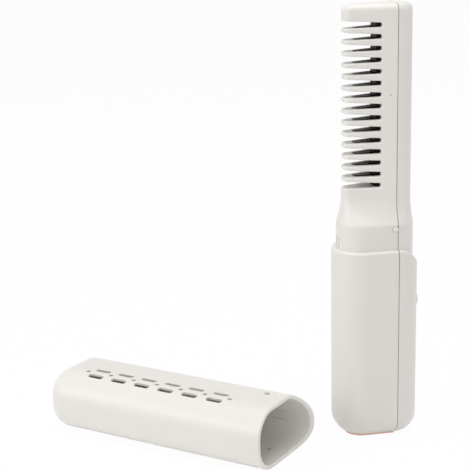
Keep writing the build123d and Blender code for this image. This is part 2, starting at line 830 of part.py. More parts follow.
# Thin leads from the thermistor down to the main board
sensor_lead_x = mica_back_x + 0.5
sensor_routes = [
    [
        (sensor_lead_x, side * sensor_lead_y * 0.6, thermistor_height),
        (sensor_lead_x, side * sensor_lead_y * 0.7, comb_bottom),
        (heater_lead_x, side * sensor_lead_y, comb_bottom - 6),
        (heater_lead_x, side * sensor_lead_y, lead_turn_height),
        (board_middle_x, side * sensor_lead_y, board_top + lead_tail),
        (board_middle_x, side * sensor_lead_y, board_top),
    ]
    for side in (-1, 1)
]
with BuildPart() as sensor_leads:
    for route_points in sensor_routes:
        add(lead(route_points, sensor_lead_radius))
sensor_leads.part.label = "sensor_leads"
export_step(sensor_leads.part, "parts/sensor_leads.step")

# Heat barrier across the neck, with a hole for each lead
with BuildPart() as heat_barrier:
    with BuildSketch(Plane.XY.offset(barrier_height)):
        add(front_outline(
            cavity_tip_x + fit_clearance, cavity_tip_half - fit_clearance, 1.0,
            head_crest_half - head_wall - fit_clearance, seam_x,
        ))
        add(rear_outline(
            head_crest_half - head_wall - fit_clearance, head_spine_x - head_wall - fit_clearance,
            head_spine_radius - head_wall, head_spine_radius - head_wall, seam_x,
        ))
    extrude(amount=barrier_thickness)
    for side in (-1, 1):
        add(rod((heater_lead_x, side * heater_lead_y, barrier_height - 1),
                (heater_lead_x, side * heater_lead_y, barrier_height + barrier_thickness + 1),
                heater_lead_radius + lead_hole_clearance), mode=Mode.SUBTRACT)
        add(rod((heater_lead_x, side * sensor_lead_y, barrier_height - 1),
                (heater_lead_x, side * sensor_lead_y, barrier_height + barrier_thickness + 1),
                sensor_lead_radius + lead_hole_clearance), mode=Mode.SUBTRACT)
heat_barrier.part.label = "heat_barrier"
export_step(heat_barrier.part, "parts/heat_barrier.step")

# Guide tube between the collar walls, with a web in the middle
with BuildPart() as detent_guide:
    guide_reach = collar_half - handle_wall
    add(rod((detent_x, -guide_reach, detent_height), (detent_x, guide_reach, detent_height), guide_radius))
    for side in (-1, 1):
        add(rod((detent_x, side * guide_web / 2, detent_height),
                (detent_x, side * (guide_reach + 1), detent_height), guide_bore_radius), mode=Mode.SUBTRACT)
detent_guide.part.label = "detent_guide"
export_step(detent_guide.part, "parts/detent_guide.step")

# A sprung pin in each large face of the collar, left and right as seen from the button's side
for name, side in (("left", -1), ("right", 1)):
    flange_y = side * (collar_half - handle_wall - detent_rest_gap)
    flange_back_y = flange_y - side * detent_flange_thickness
    with BuildPart() as detent_pin:
        tip_y = side * (collar_half + detent_reach)
        add(rod((detent_x, flange_y - side * 0.5, detent_height), (detent_x, tip_y, detent_height),
                detent_radius))
        tip_edges = detent_pin.edges().filter_by(GeomType.CIRCLE).sort_by(Axis.Y)
        fillet(tip_edges[0] if side < 0 else tip_edges[-1], detent_reach * 0.85)
        add(rod((detent_x, flange_back_y, detent_height), (detent_x, flange_y, detent_height),
                detent_flange_radius))
    detent_pin.part.label = f"{name}_detent_pin"
    export_step(detent_pin.part, f"parts/{name}_detent_pin.step")
    with BuildPart() as detent_spring:
        web_y = side * guide_web / 2
        add(rod((detent_x, web_y, detent_height), (detent_x, flange_back_y, detent_height), spring_radius))
        add(rod((detent_x, web_y - side, detent_height), (detent_x, flange_back_y + side, detent_height),
                spring_bore_radius), mode=Mode.SUBTRACT)
    detent_spring.part.label = f"{name}_detent_spring"
    export_step(detent_spring.part, f"parts/{name}_detent_spring.step")

# Battery cell, upright in the teeth side of the handle
with BuildPart() as battery_cell:
    add(rod((cell_x, 0, cell_bottom), (cell_x, 0, cell_top), cell_radius))
    fillet(battery_cell.edges().filter_by(GeomType.CIRCLE), cell_rounding)
battery_cell.part.label = "battery_cell"
export_step(battery_cell.part, "parts/battery_cell.step")

# Nickel tabs from the cell's ends to the main board
with BuildPart() as battery_tabs:
    for tab_z in (cell_bottom - tab_thickness, cell_top):
        with Locations((cell_x - tab_width / 2, 0, tab_z)):
            Box(board_x - cell_x + tab_width / 2, tab_width, tab_thickness,
                align=(Align.MIN, Align.CENTER, Align.MIN))
battery_tabs.part.label = "battery_tabs"
export_step(battery_tabs.part, "parts/battery_tabs.step")

# Battery holder: two end cups, a strip behind the cell, posts for the board and legs to the floor
with BuildPart() as battery_holder:
    cup_radius = cell_radius + holder_clearance + holder_rim
    add(rod((cell_x, 0, holder_low), (cell_x, 0, cell_bottom + holder_rim_height), cup_radius))
    add(rod((cell_x, 0, cell_top - holder_rim_height), (cell_x, 0, holder_high), cup_radius))
    with Locations((holder_strip_x, 0, holder_low)):
        Box(holder_strip_thickness, 2 * holder_strip_half_width, holder_high - holder_low,
            align=(Align.MIN, Align.CENTER, Align.MIN))
    for end_z in (holder_low, holder_high - holder_end):
        with Locations((cell_x, 0, end_z)):
            Box(holder_strip_x - cell_x + holder_strip_thickness / 2, 2 * holder_rim_height, holder_end,
                align=(Align.MIN, Align.CENTER, Align.MIN))
    add(rod((cell_x, 0, cell_bottom - tab_thickness), (cell_x, 0, cell_top + tab_thickness),
            cell_radius + holder_clearance), mode=Mode.SUBTRACT)
    for tab_z in (cell_bottom - tab_thickness, cell_top):
        with Locations((cell_x, 0, tab_z - holder_slot_clearance)):
            Box(board_x - cell_x, tab_width + 4 * holder_slot_clearance,
                tab_thickness + 2 * holder_slot_clearance,
                align=(Align.MIN, Align.CENTER, Align.MIN), mode=Mode.SUBTRACT)
    for post_y, post_z in post_places:
        add(rod((holder_strip_x + holder_strip_thickness / 2, post_y, post_z), (board_x, post_y, post_z),
                post_radius))
        add(rod((board_back_x - screw_length, post_y, post_z), (board_x + 1, post_y, post_z),
                screw_shank_radius), mode=Mode.SUBTRACT)
    for side in (-1, 1):
        add(rod((leg_x, side * leg_y, cavity_floor), (leg_x, side * leg_y, holder_low + holder_end),
                leg_radius))
    with Locations((leg_x, 0, holder_low)):
        Box(leg_foot_length, 2 * leg_foot_half_width, holder_end,
            align=(Align.CENTER, Align.CENTER, Align.MIN))
battery_holder.part.label = "battery_holder"
export_step(battery_holder.part, "parts/battery_holder.step")

# Main board behind the button
with BuildPart() as main_board:
    with BuildSketch(Plane.YZ.offset(board_x)):
        with Locations((0, (board_bottom + board_top) / 2)):
            RectangleRounded(2 * board_half_width, board_top - board_bottom, board_corner_radius)
        with Locations(*post_places):
            Circle(screw_shank_radius + 0.1, mode=Mode.SUBTRACT)
    extrude(amount=board_thickness)
main_board.part.label = "main_board"
export_step(main_board.part, "parts/main_board.step")

# Screws that hold the board on the posts
with BuildPart() as board_screws:
    for post_y, post_z in post_places:
        add(rod((board_back_x - screw_length, post_y, post_z), (board_back_x, post_y, post_z),
                screw_shank_radius))
        add(rod((board_back_x, post_y, post_z), (board_back_x + screw_head_height, post_y, post_z),
                screw_head_radius))
        add(rod((board_back_x + screw_head_height / 2, post_y, post_z),
                (board_back_x + screw_head_height + 1, post_y, post_z), screw_head_radius / 2),
            mode=Mode.SUBTRACT)
board_screws.part.label = "board_screws"
export_step(board_screws.part, "parts/board_screws.step")

# Chips on the spine side of the board: place across and up, then width, height and thickness
chip_places = (
    (-4.0, 40.0, 5.0, 5.0, 0.9),
    (4.2, 40.0, 4.0, 5.0, 1.2),
    (-4.0, 31.0, 3.0, 3.0, 0.9),
    (3.5, 30.0, 5.0, 6.0, 1.1),
)
with BuildPart() as board_chips:
    for chip_y, chip_z, chip_width, chip_height, chip_thickness in chip_places:
        with Locations((board_back_x, chip_y, chip_z)):
            Box(chip_thickness, chip_width, chip_height, align=(Align.MIN, Align.CENTER, Align.CENTER))
board_chips.part.label = "board_chips"
export_step(board_chips.part, "parts/board_chips.step")

# Boost coil and capacitors on the teeth side of the board
with BuildPart() as boost_coil:
    with Locations((board_x, 0, coil_height)):
        Box(coil_thickness, coil_size, coil_size, align=(Align.MAX, Align.CENTER, Align.CENTER))
    fillet(boost_coil.edges().filter_by(Axis.X), coil_corner_radius)
boost_coil.part.label = "boost_coil"
export_step(boost_coil.part, "parts/boost_coil.step")

with BuildPart() as capacitors:
    for capacitor_z in capacitor_heights:
        add(rod((board_x, 0, capacitor_z), (board_x - capacitor_length, 0, capacitor_z), capacitor_radius))
    fillet(capacitors.edges().filter_by(GeomType.CIRCLE).group_by(Axis.X)[0], capacitor_rounding)
capacitors.part.label = "capacitors"
export_step(capacitors.part, "parts/capacitors.step")

# Tact switch with a bore for its plunger
switch_face_x = board_back_x + switch_thickness
plunger_tip_x = switch_face_x + plunger_reach
with BuildPart() as tact_switch:
    with Locations((board_back_x, 0, button_height)):
        Box(switch_thickness, switch_size, switch_size, align=(Align.MIN, Align.CENTER, Align.CENTER))
    add(rod((switch_face_x - plunger_inside - button_travel - fit_clearance, 0, button_height),
            (switch_face_x + 1, 0, button_height), plunger_bore_radius), mode=Mode.SUBTRACT)
tact_switch.part.label = "tact_switch"
export_step(tact_switch.part, "parts/tact_switch.step")

with BuildPart() as switch_plunger:
    add(rod((switch_face_x - plunger_inside, 0, button_height), (plunger_tip_x, 0, button_height),
            plunger_radius))
switch_plunger.part.label = "switch_plunger"
export_step(switch_plunger.part, "parts/switch_plunger.step")

# Power button: dished face, flange inside the cover and stem to the switch
with BuildPart() as power_button:
    flange_x = spine_x - handle_wall - button_flange_gap
    face_x = spine_x + button_proud
    add(rod((flange_x - button_flange_thickness, 0, button_height), (face_x, 0, button_height),
            button_radius))
    fillet(power_button.edges().filter_by(GeomType.CIRCLE).sort_by(Axis.X)[-1], button_rounding)
    with Locations((face_x - button_dish_depth + button_dish_radius, 0, button_height)):
        Sphere(button_dish_radius, mode=Mode.SUBTRACT)
    add(rod((flange_x - button_flange_thickness, 0, button_height), (flange_x, 0, button_height),
            button_flange_radius))
    add(rod((plunger_tip_x, 0, button_height), (flange_x, 0, button_height), stem_radius))
power_button.part.label = "power_button"
export_step(power_button.part, "parts/power_button.step")

# Status lamp on the board and the light pipe in front of it
with BuildPart() as status_lamp:
    with Locations((board_back_x, 0, light_height)):
        Box(lamp_thickness, lamp_size, lamp_size, align=(Align.MIN, Align.CENTER, Align.CENTER))
status_lamp.part.label = "status_lamp"
export_step(status_lamp.part, "parts/status_lamp.step")

with BuildPart() as light_pipe:
    pipe_flange_x = spine_x - handle_wall - pipe_gap
    add(rod((board_back_x + lamp_thickness + pipe_gap, 0, light_height),
            (spine_x + pipe_proud, 0, light_height), light_radius))
    add(rod((pipe_flange_x - pipe_flange_thickness, 0, light_height), (pipe_flange_x, 0, light_height),
            pipe_flange_radius))
    fillet(light_pipe.edges().filter_by(GeomType.CIRCLE).sort_by(Axis.X)[-1], button_rounding)
light_pipe.part.label = "light_pipe"
export_step(light_pipe.part, "parts/light_pipe.step")

# Charging port: folded metal shell, tongue, its board, screws and leads
port_plane = Plane((port_x, 0, port_inset + plate_thickness))
with BuildPart() as charging_port:
    add(pill(port_plane, port_width, port_thickness, port_length))
    add(pill(port_plane.offset(-1), port_width - 2 * port_sheet, port_thickness - 2 * port_sheet,
             port_length + 1 - port_back_thickness), mode=Mode.SUBTRACT)
charging_port.part.label = "charging_port"
export_step(charging_port.part, "parts/charging_port.step")

with BuildPart() as port_tongue:
    with Locations((port_x, 0, port_board_z - port_back_thickness)):
        Box(tongue_width, tongue_thickness, tongue_length, align=(Align.CENTER, Align.CENTER, Align.MAX))
    fillet(port_tongue.edges().filter_by(Axis.Z), tongue_thickness * 0.4)
port_tongue.part.label = "port_tongue"
export_step(port_tongue.part, "parts/port_tongue.step")

with BuildPart() as port_board:
    port_board_length = port_board_high_x - port_board_low_x
    with Locations((port_board_low_x, 0, port_board_z)):
        Box(port_board_length, 2 * port_board_half_width, port_board_thickness,
            align=(Align.MIN, Align.CENTER, Align.MIN))
    fillet(port_board.edges().filter_by(Axis.Z), port_board_corner_radius)
    for side in (-1, 1):
        add(rod((port_x, side * port_boss_y, port_board_z - 1),
                (port_x, side * port_boss_y, port_board_z + 2),
                port_screw_radius + port_screw_clearance), mode=Mode.SUBTRACT)
port_board.part.label = "port_board"
export_step(port_board.part, "parts/port_board.step")

with BuildPart() as port_screws:
    screw_base = port_board_z + port_board_thickness
    for side in (-1, 1):
        add(rod((port_x, side * port_boss_y, port_board_z - port_screw_length),
                (port_x, side * port_boss_y, screw_base), port_screw_radius))
        add(rod((port_x, side * port_boss_y, screw_base),
                (port_x, side * port_boss_y, screw_base + port_screw_head_height), port_screw_head_radius))
port_screws.part.label = "port_screws"
export_step(port_screws.part, "parts/port_screws.step")

port_lead_z = port_board_z + port_board_thickness / 2
port_routes = [
    [
        (port_board_high_x, side * port_lead_y, port_lead_z),
        (board_middle_x, side * port_lead_y, port_lead_z),
        (board_middle_x, side * port_lead_y, board_bottom),
    ]
    for side in (-1, 1)
]
with BuildPart() as port_leads:
    for route_points in port_routes:
        add(lead(route_points, port_lead_radius))
port_leads.part.label = "port_leads"
export_step(port_leads.part, "parts/port_leads.step")

# Cap, lying on one large face with its mouth towards the comb's teeth side
cap_axis = math.radians(cap_axis_angle)
cap_plane = Plane(
    origin=(cap_mouth_x, cap_mouth_y, handle_half),
    x_dir=(-math.sin(cap_axis), math.cos(cap_axis), 0),
    z_dir=(-math.cos(cap_axis), -math.sin(cap_axis), 0),
)


def cap_form(inset, length):
    """Closed-ended prism of the handle's whole outline, upright, reaching below the mouth."""
    radius = max(cap_end_radius - inset, 1.0)
    with BuildPart() as form:
        with BuildSketch(Plane.XY.offset(-shoulder_dip - 2)):
            add(handle_front(inset, seam_x))
            add(handle_rear(inset, seam_x))
        extrude(amount=length + shoulder_dip + 2)
        fillet(form.edges().group_by(Axis.Z)[-1], radius)
    return form.part


with BuildPart() as thin_hollow:
    add(cap_form(cap_thin_wall, cap_length - cap_end_wall))
    Box(handle_width, handle_thickness, 2 * cap_thin_start, mode=Mode.SUBTRACT)

with BuildPart() as upright_cap:
    add(cap_form(0, cap_length))
    add(cap_form(cap_wall, cap_length - cap_end_wall), mode=Mode.SUBTRACT)
    # The wall is thinner above the part that slides over the collar
    add(thin_hollow.part, mode=Mode.SUBTRACT)
    # The mouth follows the shoulder, with a tongue over the rear cover's dip
    with BuildSketch(Plane.XZ):
        with BuildLine():
            mouth_curve = dip_curve(0)
            Bezier(*mouth_curve)
            Polyline(
                mouth_curve[-1], (spine_x + 1, -shoulder_dip), (spine_x + 1, -shoulder_dip - 5),
                (-spine_x - 1, -shoulder_dip - 5), (-spine_x - 1, 0), mouth_curve[0],
            )
        make_face()
    extrude(amount=handle_thickness, both=True, mode=Mode.SUBTRACT)
    # Slots in two rows on both large faces, with a row of small holes between them
    with BuildSketch(Plane.XZ):
        for row_x in slot_row_x:
            for number in range(slot_count):
                with Locations((row_x, first_slot_place + number * slot_pitch)):
                    SlotOverall(slot_length, slot_width, rotation=90)
        for number in range(slot_count + 1):
            with Locations((sum(slot_row_x) / 2, first_slot_place + (number - 0.5) * slot_pitch)):
                Circle(vent_radius)
    extrude(amount=handle_thickness, both=True, mode=Mode.SUBTRACT)
    # Snap holes for the detents
    add(rod((detent_x, -handle_thickness, detent_rise), (detent_x, handle_thickness, detent_rise),
            snap_hole_radius), mode=Mode.SUBTRACT)
    # Soft edges round the slots and the mouth
    tip_centre_x = -spine_x + handle_tip_radius
    tip_centre_y = handle_half - handle_tip_radius
    slot_edges = upright_cap.edges().filter_by(
        lambda edge: edge.length < 2 * slot_length
        and first_slot_place - slot_pitch < edge.position_at(0.5).Z < cap_length - cap_end_radius
        and abs(math.hypot(max(tip_centre_x - edge.position_at(0.5).X, 0),
                           abs(edge.position_at(0.5).Y) - tip_centre_y) - handle_tip_radius) < 0.05
    )
    fillet(slot_edges, slot_edge_radius)
    mouth_edges = upright_cap.edges().filter_by(
        lambda edge: max(edge.position_at(share).Z for share in (0, 0.5, 1)) < 0.01
    )
    fillet(mouth_edges, cap_mouth_radius)
    # Ribs on the spine side that run in the collar's grooves
    for side in (-1, 1):
        with Locations((spine_x - cap_wall, side * key_spacing / 2, rib_rise)):
            Box(2 * rib_reach, key_width - 2 * fit_clearance, rib_length,
                align=(Align.CENTER, Align.CENTER, Align.MIN))

with BuildPart() as cap:
    add(cap_plane.location * upright_cap.part)
cap.part.label = "cap"
export_step(cap.part, "parts/cap.step")
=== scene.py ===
import math

import bpy
import numpy as np
from mathutils import Matrix, Vector


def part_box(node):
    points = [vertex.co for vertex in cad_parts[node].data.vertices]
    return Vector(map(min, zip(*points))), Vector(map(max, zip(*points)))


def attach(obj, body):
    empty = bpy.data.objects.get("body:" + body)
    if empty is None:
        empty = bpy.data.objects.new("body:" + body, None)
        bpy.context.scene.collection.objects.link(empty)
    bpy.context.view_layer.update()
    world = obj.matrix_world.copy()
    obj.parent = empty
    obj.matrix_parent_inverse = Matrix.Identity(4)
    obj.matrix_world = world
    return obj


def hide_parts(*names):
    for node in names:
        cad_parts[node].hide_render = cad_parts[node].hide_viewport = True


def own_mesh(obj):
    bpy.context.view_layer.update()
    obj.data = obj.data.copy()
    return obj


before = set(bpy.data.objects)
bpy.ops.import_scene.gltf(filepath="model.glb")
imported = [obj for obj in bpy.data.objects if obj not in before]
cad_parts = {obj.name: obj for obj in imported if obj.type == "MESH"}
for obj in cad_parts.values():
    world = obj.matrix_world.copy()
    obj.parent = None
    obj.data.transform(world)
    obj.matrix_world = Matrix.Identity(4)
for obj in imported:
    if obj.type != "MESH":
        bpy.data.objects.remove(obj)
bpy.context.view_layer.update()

bl_info = {
    "name": "Cordless Straightening Comb",
    "version": (1, 0, 0),
    "blender": (4, 5, 0),
    "location": "3D View > Sidebar > Comb",
    "description": "Finishes a cordless straightening comb and its vented cap on a pale floor",
    "category": "Object",
}

MM = 0.001
WHITE = (1.0, 1.0, 1.0)


# Shader helpers

class Wire:
    """A node's output. Python's operators on it add Math nodes."""

    def __init__(self, graph, socket):
        self.graph = graph
        self.socket = socket

    def __add__(self, other):
        return self.graph.math("ADD", self, other)

    def __radd__(self, other):
        return self.graph.math("ADD", other, self)

    def __sub__(self, other):
        return self.graph.math("SUBTRACT", self, other)

    def __rsub__(self, other):
        return self.graph.math("SUBTRACT", other, self)

    def __mul__(self, other):
        return self.graph.math("MULTIPLY", self, other)

    def __rmul__(self, other):
        return self.graph.math("MULTIPLY", other, self)

    def __lt__(self, other):
        return self.graph.math("LESS_THAN", self, other)

    def __gt__(self, other):
        return self.graph.math("GREATER_THAN", self, other)

    def __abs__(self):
        return self.graph.math("ABSOLUTE", self)

    def wave(self, period):
        """Sine of this length, once over each period."""
        return self.graph.math("SINE", self * (2 * math.pi / period))

    def within(self, middle, reach, softness):
        """1 where this is nearer to middle than reach, falling to 0 over softness beyond it."""
        ends = {"From Min": reach, "From Max": reach + softness, "To Min": 1.0, "To Max": 0.0}
        distance = {"Value": abs(self - middle)}
        return self.graph.node("ShaderNodeMapRange", {"interpolation_type": "SMOOTHSTEP"}, distance | ends)

    def about(self, middle, spread):
        """This 0 to 1 value carried over to one that spreads evenly round middle."""
        return middle - spread / 2 + spread * self


class Graph:
    """The nodes of one material, or of the world."""

    def __init__(self, owner):
        owner.use_nodes = True
        self.owner = owner
        self.tree = owner.node_tree
        self.tree.nodes.clear()

    def node(self, kind, settings, sockets, output=0):
        """Adds a node, sets its settings first and then its sockets, and returns one output.

        A closing output node has none, and its material or world is returned.
        """
        made = self.tree.nodes.new(kind)
        for key, value in settings.items():
            setattr(made, key, value)
        for key, value in sockets.items():
            if isinstance(value, Wire):
                self.tree.links.new(value.socket, made.inputs[key])
            else:
                made.inputs[key].default_value = value
        if not made.outputs:
            return self.owner
        return Wire(self, made.outputs[output])

    def math(self, operation, *values):
        """A Math node on up to three values."""
        return self.node("ShaderNodeMath", {"operation": operation}, dict(enumerate(values)))

    def place(self):
        """Object coordinates, which are the part's own frame in metres."""
        return self.node("ShaderNodeTexCoord", {}, {}, "Object")

    def axes(self):
        """Object coordinates as three separate lengths."""
        split = self.node("ShaderNodeSeparateXYZ", {}, {"Vector": self.place()}, "X")
        outputs = split.socket.node.outputs
        return [Wire(self, outputs[axis]) for axis in "XYZ"]

    def stretched(self, scale):
        """Object coordinates with each axis scaled, for a pattern that runs along the others."""
        return self.node("ShaderNodeMapping", {}, {"Vector": self.place(), "Scale": scale})

    def noise(self, size, detail=2.0, place=None):
        """Cloudy value near 0.5 whose lumps are about size metres across."""
        sockets = {"Vector": place or self.place(), "Scale": 1 / size, "Detail": detail}
        return self.node("ShaderNodeTexNoise", {}, sockets, "Fac")

    def mixed(self, factor, first, second):
        """Colour from first to second. A Mix node's colours go in at 6 and 7 and come out at 2."""
        return self.node("ShaderNodeMix", {"data_type": "RGBA"}, {0: factor, 6: first, 7: second}, 2)

    def shaded(self, factor, color, dark, light):
        """One colour from its dark share to its light share."""
        return self.mixed(factor, rgba(color, dark), rgba(color, light))

    def relief(self, height, depth, strength):
        """Normal of a surface raised by height, whose 0 to 1 spans depth metres."""
        sockets = {"Height": height, "Distance": depth, "Strength": strength}
        return self.node("ShaderNodeBump", {}, sockets, "Normal")

    def surface(self, **sockets):
        """Principled surface on the material's output; underscores stand for spaces."""
        named = {key.replace("_", " "): value for key, value in sockets.items()}
        shader = self.node("ShaderNodeBsdfPrincipled", {}, named, "BSDF")
        return self.node("ShaderNodeOutputMaterial", {}, {"Surface": shader})

    def seen_white(self):
        """1 for what the camera sees, also in gloss or through glass, and 0 for what lights the part."""
        outputs = self.node("ShaderNodeLightPath", {}, {}).socket.node.outputs
        camera, gloss, glass = (
            Wire(self, outputs[name]) for name in ("Is Camera Ray", "Is Glossy Ray", "Is Transmission Ray")
        )
        return self.math("MINIMUM", camera + gloss + glass, 1.0)


def rgba(color, factor=1.0):
    """A colour with full alpha, its brightness scaled."""
    return (*(min(channel * factor, 1.0) for channel in color), 1.0)


# Materials

def satin_plastic(name, color, roughness, grain, seam_x=None):
    """Moulded white plastic: fine spark-eroded grain, faint clouding and painted shade darkening the seam.
    """
    cloud_size = 22 * MM
    grain_depth = 0.012 * MM
    # Width, softness and strength of the painted shade along the seam between the shells
    seam_shade_reach = 0.16 * MM
    seam_shade_softness = 0.3 * MM
    seam_shade_cover = 0.35
    graph = Graph(bpy.data.materials.new(name))
    cloud = graph.noise(cloud_size, detail=3.0)
    tone = graph.shaded(cloud, color, dark=0.975, light=1.02)
    # Painted shade: the colour darkens along the seam where the two shells meet
    if seam_x is not None:
        across, _, _ = graph.axes()
        seam_shade = across.within(seam_x, seam_shade_reach, seam_shade_softness) * seam_shade_cover
        tone = graph.mixed(seam_shade, tone, rgba(color, 0.55))
    return graph.surface(
        Base_Color=tone,
        Roughness=cloud.about(roughness, 0.1),
        Normal=graph.relief(graph.noise(grain, detail=1.0), grain_depth, strength=0.6),
        IOR=1.49,
    )


def heat_coating(name, color, roughness):
    """Black baked coating on metal: orange-peel relief, slightly uneven and with little gloss."""
    peel_size = 0.9 * MM
    peel_depth = 0.02 * MM
    cloud_size = 9 * MM
    graph = Graph(bpy.data.materials.new(name))
    peel = graph.noise(peel_size)
    cloud = graph.noise(cloud_size)
    return graph.surface(
        Base_Color=graph.shaded(cloud, color, dark=1.0, light=1.6),
        Roughness=cloud.about(roughness, 0.12),
        Normal=graph.relief(peel, peel_depth, strength=0.5),
        Specular_IOR_Level=0.06,
    )


def brushed_metal(name, color, roughness, along="Y"):
    """Metal with fine brush lines along one axis."""
    line_width = 0.25 * MM
    line_depth = 0.006 * MM
    line_stretch = 0.03
    graph = Graph(bpy.data.materials.new(name))
    scale = [line_stretch if axis == along else 1.0 for axis in "XYZ"]
    lines = graph.noise(line_width, detail=3.0, place=graph.stretched(scale))
    return graph.surface(
        Base_Color=graph.shaded(lines, color, dark=0.88, light=1.08),
        Metallic=1.0,
        Roughness=lines.about(roughness, 0.16),
        Normal=graph.relief(lines, line_depth, strength=0.4),
    )


def moulded(name, color, roughness, grain_size=0.6 * MM):
    """Moulded, pressed or fired material with a fine grain: plastic, rubber, ceramic, mica or glass."""
    grain_depth = 0.015 * MM
    cloud_size = 6 * MM
    graph = Graph(bpy.data.materials.new(name))
    grain = graph.noise(grain_size)
    cloud = graph.noise(cloud_size)
    return graph.surface(
        Base_Color=graph.shaded(cloud, color, dark=0.92, light=1.08),
        Roughness=grain.about(roughness, 0.08),
        Normal=graph.relief(grain, grain_depth, strength=0.5),
    )


def solder_mask(name, color, tinned):
    """Circuit board: lacquer over a grid of copper traces, with tinned pads."""
    trace_pitch = 1.3 * MM
    cross_pitch = 4.1 * MM
    wander_size = 5 * MM
    wander_reach = 3 * MM
    pad_pitch = 2.4 * MM
    trace_depth = 0.03 * MM
    graph = Graph(bpy.data.materials.new(name))
    _, deep, up = graph.axes()
    wander = graph.noise(wander_size, detail=0.0) * wander_reach
    trace = (deep + wander).wave(trace_pitch) > 0.55
    cross = (up + wander).wave(cross_pitch) > 0.9
    pad = {"Vector": graph.place(), "Scale": 1 / pad_pitch}
    tin = graph.node("ShaderNodeTexVoronoi", {}, pad, "Distance") < 0.16
    lacquer = graph.shaded(graph.math("MAXIMUM", trace, cross), color, dark=1.0, light=1.5)
    return graph.surface(
        Base_Color=graph.mixed(tin, lacquer, rgba(tinned)),
        Metallic=tin,
        Roughness=0.35 + 0.1 * tin,
        Normal=graph.relief(trace + tin, trace_depth, strength=0.5),
    )


def shrink_wrap(name, color, ring, low, high):
    """Battery sleeve: drawn film from low to high, with a ring of bare can at each end."""
    film_size = 2.5 * MM
    film_depth = 0.03 * MM
    film_stretch = 0.25
    graph = Graph(bpy.data.materials.new(name))
    _, _, up = graph.axes()
    film = graph.noise(film_size, place=graph.stretched((1.0, 1.0, film_stretch)))
    bare = (up < low) + (up > high)
    return graph.surface(
        Base_Color=graph.mixed(bare, graph.shaded(film, color, dark=0.9, light=1.1), rgba(ring)),
        Metallic=bare,
        Roughness=0.3 + 0.1 * film,
        Normal=graph.relief(film, film_depth, strength=0.5),
    )


def clear_moulding(name, color):
    """Frosted plastic that lets some light through, as on a light pipe or a lens."""
    frost_size = 0.4 * MM
    frost_depth = 0.004 * MM
    graph = Graph(bpy.data.materials.new(name))
    frost = graph.noise(frost_size)
    return graph.surface(
        Base_Color=graph.shaded(frost, color, dark=0.95, light=1.0),
        Roughness=0.18 + 0.1 * frost,
        Normal=graph.relief(frost, frost_depth, strength=0.4),
        Transmission_Weight=0.35,
    )


# Surfaces

def smooth_piece(name, points, faces):
    """Object in the scene whose smooth mesh has these points and faces."""
    mesh = bpy.data.meshes.new(name)
    mesh.from_pydata(points.tolist(), [], faces.tolist())
    mesh.polygons.foreach_set("use_smooth", np.ones(len(faces), bool))
    mesh.update()
    made = bpy.data.objects.new(name, mesh)
    bpy.context.scene.collection.objects.link(made)
    return made


def closed_tube(name, rings):
    """Piece of n rings of m points each, closed round and with a point at the middle of each end.

    The ring array has the shape (n, m, 3). Faces are turned so that they point outwards: six times the
    mesh's volume is the sum over its triangles of corner 1 times the cross product of corners 2 and 3,
    and where it is below 0 each triangle's order is reversed.
    """
    count, around = rings.shape[:2]
    points = np.concatenate([rings.reshape(-1, 3), rings[[0, -1]].mean(axis=1)])
    row, column = np.meshgrid(np.arange(count - 1), np.arange(around), indexing="ij")
    here = (row * around + column).ravel()
    beside = (row * around + (column + 1) % around).ravel()
    ring = np.arange(around)
    following = (ring + 1) % around
    last = (count - 1) * around
    triangles = np.concatenate([
        np.stack([here, beside, beside + around], axis=1),
        np.stack([here, beside + around, here + around], axis=1),
        np.stack([following, ring, np.full(around, count * around)], axis=1),
        np.stack([ring + last, following + last, np.full(around, count * around + 1)], axis=1),
    ])
    corners = points[triangles]
    volume = np.einsum("ij,ij->i", corners[:, 0], np.cross(corners[:, 1], corners[:, 2])).sum()
    if volume < 0:
        triangles = triangles[:, ::-1]
    return smooth_piece(name, points, triangles)


def along_path(centres, side, radii, around):
    """Rings of a round profile carried along a path.

    Each ring is centre + radius * (cos a * side + sin a * up), where up is the path's direction
    crossed with side, and a goes once round.
    """
    direction = np.gradient(centres, axis=0)
    direction /= np.linalg.norm(direction, axis=1, keepdims=True)
    side = side - (side * direction).sum(axis=1, keepdims=True) * direction
    side /= np.linalg.norm(side, axis=1, keepdims=True)
    up = np.cross(direction, side)
    angle = np.linspace(0, 2 * np.pi, around, endpoint=False)
    spread = np.cos(angle)[None, :, None] * side[:, None] + np.sin(angle)[None, :, None] * up[:, None]
    return centres[:, None] + radii[:, None, None] * spread


def rounded_ends(length, count, radius):
    """Radii along a rod of that many steps whose two ends close in a half circle.

    Each is radius * square root of (1 - (1 - inward) squared), where inward is the distance from the
    nearer end over the radius, up to 1. Each end ring stays just wide enough to have faces.
    """
    least_share = 0.02
    place = np.linspace(0, length, count)
    inward = np.minimum(np.minimum(place, length - place) / radius, 1.0)
    return radius * np.sqrt(np.maximum(1 - (1 - inward) ** 2, least_share))


def flat_line(name, centres, half_width, axis, flatness):
    """Raised line along a path: a round rod with rounded ends, pressed flat on one axis.

    On that axis each point is path + flatness * (round rod's point - path).
    """
    side = np.tile([1.0, 0.0, 0.0], (len(centres), 1))
    length = np.linalg.norm(np.diff(centres, axis=0), axis=1).sum()
    rings = along_path(centres, side, rounded_ends(length, len(centres), half_width), around=12)
    middle = centres[:, None, axis]
    rings[:, :, axis] = middle + (rings[:, :, axis] - middle) * flatness
    return closed_tube(name, rings)


def extent(node):
    """Low corner, high corner and middle of a CAD node's box."""
    low, high = (np.array(corner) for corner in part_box(node))
    return low, high, (low + high) / 2


def show(made, body, material):
    """Gives a new piece its body and its material."""
    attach(made, body)
    made.data.materials.append(material)
    return made


def dress(material, *nodes):
    """Puts one material on all of these CAD nodes."""
    for node in nodes:
        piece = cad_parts[node]
        piece.data.materials.clear()
        piece.data.materials.append(material)


# Settings

